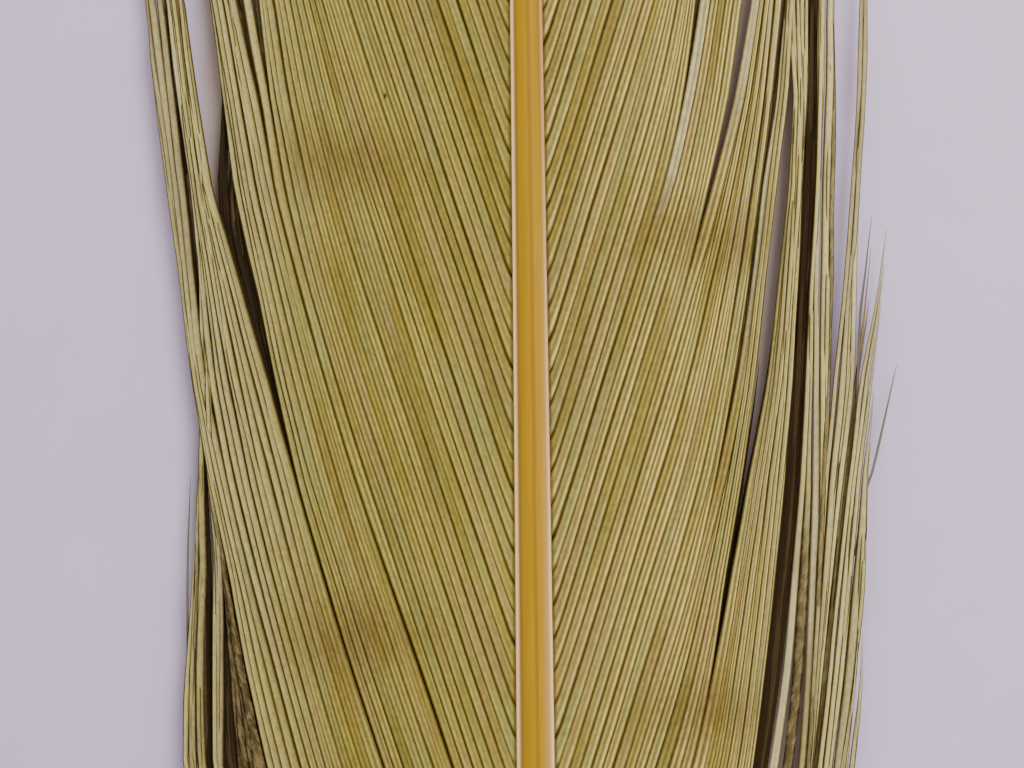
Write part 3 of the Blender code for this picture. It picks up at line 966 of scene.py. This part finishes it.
GRAIN = ((0.35, 2.0, 40.0), 3.0, 3.0, 0.6)
CRINKLE = ((2.6, 1.1, 5.0), 1.0, 4.0, 0.8)
TWIST = ((1.0, 7.0, 0.6), 1.0, 3.0, 0.7)
HORN_STREAK = ((6.0, 0.25, 1.0), 900.0, 4.0, 0.6)
HORN_CLOUD = (220.0, 3.0, 0.5)
PATCH = (160.0, 3.0, 0.55)
DOWN_FLECK = (900.0, 3.0, 0.6)
LOOSE_FLECK = (1200.0, 3.0, 0.6)

HATCH_SPACING = 0.17
HATCH_SLANT = 0.26
HATCH_STRENGTH = 0.07
BAR_SPACING = 23.75
BAR_REACH = 0.13
BAR_STRENGTH = 0.60
SHADOW_STRENGTH = 0.8
PALE_STRENGTH = 0.85
TWIST_LENGTH = 0.7
TWIST_SLANT = 0.5
TWIST_RANGE = (0.42, 0.64)
PATCH_SHADE = 0.26
CRINKLE_SHADE = 1.3
BARB_SHADE = 0.08
LOCK_SHADE = 0.04
SPECK_X = -9.0
SPECK_Y = 284.4
SPECK_HALF_WIDTH = 0.16
SPECK_HALF_LENGTH = 0.26
VANE_ROUGHNESS = 0.6
VANE_SPECULAR = 0.12
VANE_BUMP = 0.00002

made_materials = {}


class BarbPlace:
    """Where a point lies on its barb and on the vane, with the noises that the colours share."""

    def __init__(self, look):
        self.across = look.attribute("across")
        self.along = look.attribute("along")
        self.out = look.attribute("out")
        self.origin = look.attribute("origin")
        self.barb = look.attribute("barb")
        self.painted_shade = look.attribute("painted_shade")
        self.pale = look.attribute("pale")
        self.x, self.y = look.axes(look.place())[:2]
        self.far = look.ramp(self.out, *FAR_FROM_SHAFT)
        self.cords = look.ramp(self.out, *CORDS_BEGIN)
        self.woven = look.ramp(self.out, *WEAVE_FADES)
        self.grain = look.stretched_noise((self.along, self.across, self.barb), *GRAIN)
        crinkle = look.stretched_noise((self.along, self.across, self.origin), *CRINKLE)
        self.crinkle = look.minus(crinkle, 0.5)


def barb_base(look, at, side):
    """The web of a barb, its two ridges, long streaks, and the cords that worn barbs turn into."""
    slant = look.plus(at.along, look.times(at.across, HATCH_SLANT))
    hatch = look.math("SINE", look.times(slant, 2.0 * math.pi / HATCH_SPACING))
    web_shade = look.plus(look.line(at.grain, *WEB_GRAIN), look.times(hatch, HATCH_STRENGTH))
    base = look.scaled(VANE_COLOURS[side]["web"], web_shade)
    # The two ridges: the rami's paler colour with partly painted highlight
    ridge = look.times(look.hump(at.across, *FIRST_RIDGE), RIDGE_AND_HIGHLIGHT_STRENGTH[side])
    second = look.times(look.hump(at.across, *SECOND_RIDGE),
                        look.times(at.woven, look.line(at.far, *SECOND_RIDGE_OUTWARD)))
    base = look.mix(look.larger(ridge, second), base, VANE_COLOURS[side]["ridge"])
    for number, (tint, most) in enumerate(STREAKS):
        place = look.vector(look.times(at.along, 0.10), look.times(at.origin, 0.30), 4.0 + 9.0 * number)
        streaks = look.noise(place, 1.0)
        base = look.mix(look.times(look.ramp(streaks, *STREAK_RANGE), most), base, tint)
    cord_crest = look.times(look.hump(at.across, *CORD_CREST), CORD_STRENGTH[side])
    return look.mix(look.times(at.cords, cord_crest), base, CORD_COLOUR)


def barred(look, at, side, base):
    """Faint brown bars across the vane, a colour only."""
    place = look.math("DIVIDE", look.minus(at.y, BAR_PHASE[side] * MM), BAR_SPACING * MM)
    place = look.minus(place, look.math("FLOOR", look.plus(place, 0.5)))
    bar = look.hump(look.plus(place, look.times(at.barb, 0.012)), 0.0, BAR_REACH)
    bar = look.times(bar, look.hump(at.out, *BARS_FADE))
    bar = look.times(bar, look.ramp(at.grain, 0.30, 0.55))
    return look.mix(look.times(bar, BAR_STRENGTH), base, BAR_COLOUR)


def painted_shade_lines(look, at):
    """Painted shade in the valley between a barb's ridges, along its edges where barbs meet, and as the
    shadow beside the shaft.
    """
    valley = look.times(look.hump(at.across, *VALLEY_SHADE), look.line(at.far, *VALLEY_SHADE_OUTWARD))
    valley = look.times(valley, at.woven)
    edge = look.ramp(look.math("ABSOLUTE", at.across), *EDGE_SHADE)
    edge = look.times(edge, look.minus(1.0, look.times(look.hump(at.out, *SOFT_EDGES), 0.25)))
    beside_shaft = look.times(look.ramp(at.out, *SHADOW_OF_SHAFT), SHADOW_STRENGTH)
    return look.larger(look.larger(valley, edge), beside_shaft)


def bleached(look, at, lines, base):
    """Barbs that have gone pale, most of all on their ridges."""
    tint = look.mix(look.ramp(at.pale, 0.66, 0.95), PALE_COLOUR, CREAM_COLOUR)
    share = look.times(look.times(look.ramp(at.pale, 0.0, 0.85), PALE_STRENGTH),
                       look.minus(1.0, look.times(lines, 0.6)))
    ridges = look.larger(look.hump(at.across, RIDGE_ACROSS, PALE_RIDGE_REACH),
                         look.hump(at.across, SECOND_RIDGE_ACROSS, PALE_RIDGE_REACH))
    return look.mix(look.times(share, look.line(ridges, *PALE_ON_RIDGES)), base, tint)


def in_shadow(look, at, base):
    """Painted shade on deep and shaded barbs: dark brown, with a painted lighter brown mottling where they
    would catch a little light.
    """
    slanted = look.plus(look.times(at.along, 1.0 / TWIST_LENGTH), look.times(at.across, TWIST_SLANT))
    twist = look.stretched_noise((slanted, at.origin, at.across), *TWIST)
    half_lit = look.times(look.ramp(at.painted_shade, 1.0, 0.9), 0.8)
    twist = look.larger(look.times(look.ramp(twist, *TWIST_RANGE), half_lit),
                        look.times(look.ramp(at.barb, 0.1, 0.9), look.times(at.grain, 0.5)))
    return look.mix(at.painted_shade, base, look.mix(twist, DEEP_SHADE_COLOUR, HALF_LIT_TWIST_COLOUR))


def vane_shade(look, at, side):
    """How light the vane is from place to place."""
    patch = look.noise(look.place(), *PATCH)
    shade = look.line(patch, EVEN_SHADE[side], PATCH_SHADE)
    shade = look.plus(shade, look.times(at.crinkle, CRINKLE_SHADE))
    outward = look.times(at.far, OUTWARD_SHADE[side])
    if OUTWARD_SHADE_FROM_Y[side] is not None:
        outward = look.times(outward, look.ramp(at.y, *OUTWARD_SHADE_FROM_Y[side]))
    shade = look.plus(shade, outward)
    shade = look.plus(shade, look.times(at.barb, BARB_SHADE))
    return look.plus(shade, look.times(look.attribute("lock"), LOCK_SHADE))


def vane_material(side):
    name = "barbs_" + side
    if name in made_materials:
        return made_materials[name]
    look = Shading(name)
    at = BarbPlace(look)
    base = barred(look, at, side, barb_base(look, at, side))
    # Painted shade: the grooves, valleys and the strip beside the shaft are coloured dark
    lines = painted_shade_lines(look, at)
    base = look.mix(lines, base, look.mix(at.cords, VANE_COLOURS[side]["groove_shade"], CORD_GAP_SHADE_COLOUR))
    base = in_shadow(look, at, bleached(look, at, lines, base))
    base = look.scaled(base, vane_shade(look, at, side))
    speck = look.times(look.hump(at.x, SPECK_X * MM, SPECK_HALF_WIDTH * MM),
                       look.hump(at.y, SPECK_Y * MM, SPECK_HALF_LENGTH * MM))
    base = look.mix(speck, base, DEEP_SHADE_COLOUR)
    look.bump(look.plus(at.crinkle, at.grain), VANE_BUMP)
    made_materials[name] = look.finish(base, VANE_ROUGHNESS, Specular_IOR_Level=VANE_SPECULAR)
    return made_materials[name]


DOWN_COLOUR = colour(242, 234, 216)
DOWN_BROWN = colour(196, 180, 150)
DOWN_ROUGHNESS = 0.7
DOWN_SPECULAR = 0.15
LOOSE_COLOUR = colour(112, 102, 88)
LOOSE_PALE = colour(160, 150, 132)
LOOSE_ROUGHNESS = 0.65
STRAND_BUMP = 0.00001


def down_material():
    if "down" in made_materials:
        return made_materials["down"]
    look = Shading("down")
    strand = look.attribute("strand")
    along = look.attribute("along")
    fleck = look.noise(look.place(), *DOWN_FLECK)
    brown = look.plus(look.times(along, 0.5), look.line(strand, 0.15, 0.25))
    base = look.mix(look.times(brown, fleck), DOWN_COLOUR, DOWN_BROWN)
    base = look.scaled(base, look.line(fleck, 0.85, 0.3))
    look.bump(fleck, STRAND_BUMP)
    made_materials["down"] = look.finish(base, DOWN_ROUGHNESS, Specular_IOR_Level=DOWN_SPECULAR)
    return made_materials["down"]


def loose_material():
    look = Shading("loose")
    fleck = look.noise(look.place(), *LOOSE_FLECK)
    share_pale = look.times(look.plus(look.attribute("strand"), 1.0), fleck)
    base = look.mix(share_pale, LOOSE_COLOUR, LOOSE_PALE)
    look.bump(fleck, STRAND_BUMP)
    return look.finish(base, LOOSE_ROUGHNESS, Specular_IOR_Level=VANE_SPECULAR)


# Shaft

# Upper half of the shaft's section from its left edge: place across, height share

SHAFT_BACK = ((-1.0, 0.62), (-0.995, 0.72), (-0.95, 0.79), (-0.88, 0.80), (-0.80, 0.79), (-0.70, 0.83),
              (-0.52, 0.90), (-0.34, 0.95), (-0.17, 0.982), (0.0, 0.992), (0.17, 0.985), (0.34, 0.955),
              (0.52, 0.905), (0.70, 0.835), (0.80, 0.79), (0.88, 0.80), (0.95, 0.79), (0.995, 0.72),
              (1.0, 0.62))

# Lower half from its right edge, with the groove beneath

BELLY_HALF = ((0.99, 0.45), (0.93, 0.25), (0.78, 0.09), (0.58, 0.0), (0.34, 0.01), (0.2, 0.09))
SHAFT_BELLY = BELLY_HALF + ((0.0, 0.12),) + tuple((-across, rise) for across, rise in reversed(BELLY_HALF))
QUILL_RINGS = 40
QUILL_RING_POWER = 1.6
SHAFT_RING_SPACING = 1.2
SHAFT_PAST_VANE = 3.0
LEAST_SHAFT_WIDTH = 0.12
SHAFT_END_WIDTH = 0.1
QUILL_ROUNDING = 1.8
QUILL_BLUNTNESS = 0.03
QUILL_TURNS_ROUND = (-14.0, 6.0)


def make_shaft():
    """The quill and shaft as one tapering horn rod with a shallow groove beneath."""
    quill = -QUILL_LENGTH * (1.0 - np.linspace(0.0, 1.0, QUILL_RINGS) ** QUILL_RING_POWER)
    rest = np.arange(0.0, VANE_LENGTH, SHAFT_RING_SPACING)
    places = np.concatenate([quill[:-1], rest, [VANE_LENGTH, VANE_LENGTH + SHAFT_PAST_VANE]])
    width = np.maximum(shaft_width(places), LEAST_SHAFT_WIDTH)
    width[-1] = SHAFT_END_WIDTH
    from_point = np.clip((places + QUILL_LENGTH) / QUILL_ROUNDING, 0.0, 1.0)
    rounding = np.sqrt(np.clip(1.0 - (1.0 - from_point) ** 2, QUILL_BLUNTNESS, 1.0))
    half = (0.5 * width * rounding)[:, None]
    depth = SHAFT_DEPTH_RATIO * width
    section = np.array(SHAFT_BACK + SHAFT_BELLY)
    round_share = smooth(-places, *QUILL_TURNS_ROUND)[:, None]
    angle = np.arctan2(section[:, 1] - 0.5, section[:, 0] * 0.5)
    across = section[:, 0] * (1 - round_share) + np.cos(angle) * round_share
    height = section[:, 1] * (1 - round_share) + (0.5 + 0.5 * np.sin(angle)) * round_share
    x = shaft_x(places)[:, None] + across * half
    z = 0.5 * depth[:, None] + (height - 0.5) * (depth * rounding)[:, None]
    y = np.broadcast_to(places[:, None], x.shape)
    rings = np.stack([x, y, z], axis=-1)[None]
    fields = {"across": section[:, 0][None, None, :], "rise": section[:, 1][None, None, :]}
    piece = swept_mesh("shaft", rings, fields)
    piece.data.materials.append(shaft_material())
    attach(piece, "root")
    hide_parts("feather")


HORN = colour(180, 136, 4)
HORN_LINE = colour(150, 100, 0)
HORN_SHADE = colour(146, 108, 50)
RIM = colour(255, 210, 160)
RIM_TAN = colour(214, 160, 98)
QUILL_HORN = colour(220, 190, 120)

# Marks across the shaft, from -1 to 1: centre and reach

MIDDLE_LINE = (0.12, 0.20)
# The left and right shades below are painted shade beside the rims
LEFT_SHADE = (-0.68, 0.16)
RIGHT_SHADE = (0.72, 0.14)
LEFT_RIM = (-0.92, 0.20)
RIGHT_RIM = (0.92, 0.18)
RIGHT_BLUSH = (0.30, 0.85)

# Places along the feather, in metres, over which the shaft's colours change

TAN_RIM_BEGINS = (0.290, 0.252)
RIGHT_SHADE_BEGINS = (0.272, 0.288)
QUILL_BEGINS = (0.004, -0.02)
UPPER_SIDE = (0.55, 0.66)
SHAFT_MARK_STRENGTH = 0.75
HORN_ROUGHNESS = 0.45
HORN_SPECULAR = 0.15
HORN_BUMP = 0.00002


def shaft_material():
    look = Shading("horn")
    across = look.attribute("across")
    rise = look.attribute("rise")
    x, y, z = look.axes(look.place())
    streak = look.stretched_noise((x, y, z), *HORN_STREAK)
    cloud = look.noise(look.place(), *HORN_CLOUD)
    base = look.scaled(HORN, look.line(streak, 0.80, 0.4))
    line_place = look.plus(across, look.times(look.minus(cloud, 0.5), 0.12))
    line = look.hump(line_place, *MIDDLE_LINE)
    base = look.mix(look.times(line, SHAFT_MARK_STRENGTH), base, HORN_LINE)
    upper = look.ramp(rise, *UPPER_SIDE)
    towards_quill = look.ramp(y, *TAN_RIM_BEGINS)
    # Painted shade in bands beside the rims
    shades = look.plus(look.hump(across, *LEFT_SHADE),
                       look.times(look.hump(across, *RIGHT_SHADE), look.ramp(y, *RIGHT_SHADE_BEGINS)))
    base = look.mix(look.times(shades, SHAFT_MARK_STRENGTH), base, HORN_SHADE)
    left_rim = look.times(look.hump(across, *LEFT_RIM), upper)
    right_rim = look.times(look.hump(across, *RIGHT_RIM), upper)
    blush = look.times(look.times(look.ramp(across, *RIGHT_BLUSH), upper), towards_quill)
    base = look.mix(look.times(blush, SHAFT_MARK_STRENGTH), base, RIM_TAN)
    base = look.mix(left_rim, base, RIM)
    base = look.mix(right_rim, base, look.mix(towards_quill, RIM_TAN, RIM))
    base = look.mix(look.ramp(y, *QUILL_BEGINS), base, QUILL_HORN)
    look.bump(streak, HORN_BUMP)
    return look.finish(base, HORN_ROUGHNESS, Specular_IOR_Level=HORN_SPECULAR)


# Floor, light and camera

FLOOR_COLOUR = colour(218, 200, 228)
# Painted shade on the floor under the feather, browned with painted light bounced off the barbs
UNDER_FEATHER_SHADE_COLOUR = colour(180, 160, 150)
FLOOR_REACH = 4.0
# Painted light: the floor's colour grows lighter towards the upper right, where more light falls
FLOOR_SHADE = 0.925
BRIGHTENING = 0.28
BRIGHTENS_OVER = (-0.06, 0.10)
BRIGHTENS_ALONG_Y = 0.8
MOTTLE = (190.0, 3.0, 0.6)
MOTTLE_SHADE = 0.12
FLOOR_ROUGHNESS = 0.85
FLOOR_SPECULAR = 0.2

# Edges of the painted shade on the floor under the feather, browned with painted light bounced off the
# barbs, in metres: where it begins and is full

UNDER_FROM_LEFT = (-0.0176, -0.0158)
UNDER_FROM_RIGHT = (0.0150, 0.0135)
UNDER_FROM_QUILL = (0.17, 0.21)
UNDER_FROM_TIP = (0.35, 0.31)


def floor_material():
    look = Shading("paper")
    x, y = look.axes(look.place())[:2]
    # Painted light, lighter towards the upper right
    up = look.times(look.minus(y, VIEW_CENTRE_Y * MM), BRIGHTENS_ALONG_Y)
    shade = look.line(look.ramp(look.plus(x, up), *BRIGHTENS_OVER), FLOOR_SHADE, BRIGHTENING)
    mottle = look.noise(look.place(), *MOTTLE)
    shade = look.plus(shade, look.times(look.minus(mottle, 0.5), MOTTLE_SHADE))
    # Painted shade: the floor under the feather is coloured browner and darker
    away = look.minus(x, float(shaft_x(VIEW_CENTRE_Y)) * MM)
    shade_under_across = look.times(look.ramp(away, *UNDER_FROM_LEFT), look.ramp(away, *UNDER_FROM_RIGHT))
    shade_under_along = look.times(look.ramp(y, *UNDER_FROM_QUILL), look.ramp(y, *UNDER_FROM_TIP))
    base = look.mix(look.times(shade_under_across, shade_under_along), FLOOR_COLOUR, UNDER_FEATHER_SHADE_COLOUR)
    return look.finish(look.scaled(base, shade), FLOOR_ROUGHNESS, Specular_IOR_Level=FLOOR_SPECULAR)


def make_floor():
    mesh = bpy.data.meshes.new("floor")
    corners = [(-FLOOR_REACH, -FLOOR_REACH, 0), (FLOOR_REACH, -FLOOR_REACH, 0),
               (FLOOR_REACH, FLOOR_REACH, 0), (-FLOOR_REACH, FLOOR_REACH, 0)]
    mesh.from_pydata(corners, [], [(0, 1, 2, 3)])
    floor = add_object("floor", mesh)
    floor.data.materials.append(floor_material())


KEY_PLACE = (0.16, 0.41, 0.32)
KEY_AIM = (0.0, 0.27, 0.0)
KEY_SIZE = 0.25
KEY_ENERGY = 1.1
SKY_COLOUR = (0.83, 0.82, 0.82, 1.0)
SKY_STRENGTH = 1.03


def make_key_light():
    data = bpy.data.lights.new("key", "AREA")
    data.shape = "DISK"
    data.size = KEY_SIZE
    data.energy = KEY_ENERGY
    lamp = add_object("key", data)
    lamp.location = KEY_PLACE
    away = np.array(KEY_PLACE) - np.array(KEY_AIM)
    lamp.rotation_mode = "QUATERNION"
    lamp.rotation_quaternion = Vector(away).to_track_quat("Z", "Y")
    lamp.visible_camera = False


def make_world():
    world = bpy.data.worlds.new("studio")
    world.use_nodes = True
    background = world.node_tree.nodes["Background"]
    background.inputs["Color"].default_value = SKY_COLOUR
    background.inputs["Strength"].default_value = SKY_STRENGTH
    bpy.context.scene.world = world


FRAME_WIDTH = 51.2
LENS = 85.0
SENSOR = 36.0
SHAFT_RIGHT_OF_CENTRE = 0.95
VANE_HEIGHT_IN_VIEW = 1.0
NEAREST_IN_VIEW = 0.005


def make_camera():
    data = bpy.data.cameras.new("camera")
    data.lens = LENS
    data.sensor_width = SENSOR
    data.clip_start = NEAREST_IN_VIEW
    camera = add_object("camera", data)
    distance = FRAME_WIDTH * LENS / SENSOR
    camera.location = ((shaft_x(VIEW_CENTRE_Y) - SHAFT_RIGHT_OF_CENTRE) * MM, VIEW_CENTRE_Y * MM,
                       (VANE_HEIGHT_IN_VIEW + distance) * MM)
    camera.rotation_euler = (0.0, 0.0, 0.0)
    bpy.context.scene.camera = camera


make_shaft()
for side_name in SIDES:
    make_vane(side_name, "foot", VANE_STARTS, DETAILED_FROM, COARSE_STEPS)
    make_vane(side_name, "middle", DETAILED_FROM, DETAILED_TO, FINE_STEPS)
    make_vane(side_name, "top", DETAILED_TO, VANE_LENGTH, COARSE_STEPS)
    make_deep_barbs(side_name)
    make_barbules(side_name, make_down_barbs(side_name))
make_loose_barbs()
make_floor()
make_world()
make_key_light()
make_camera()
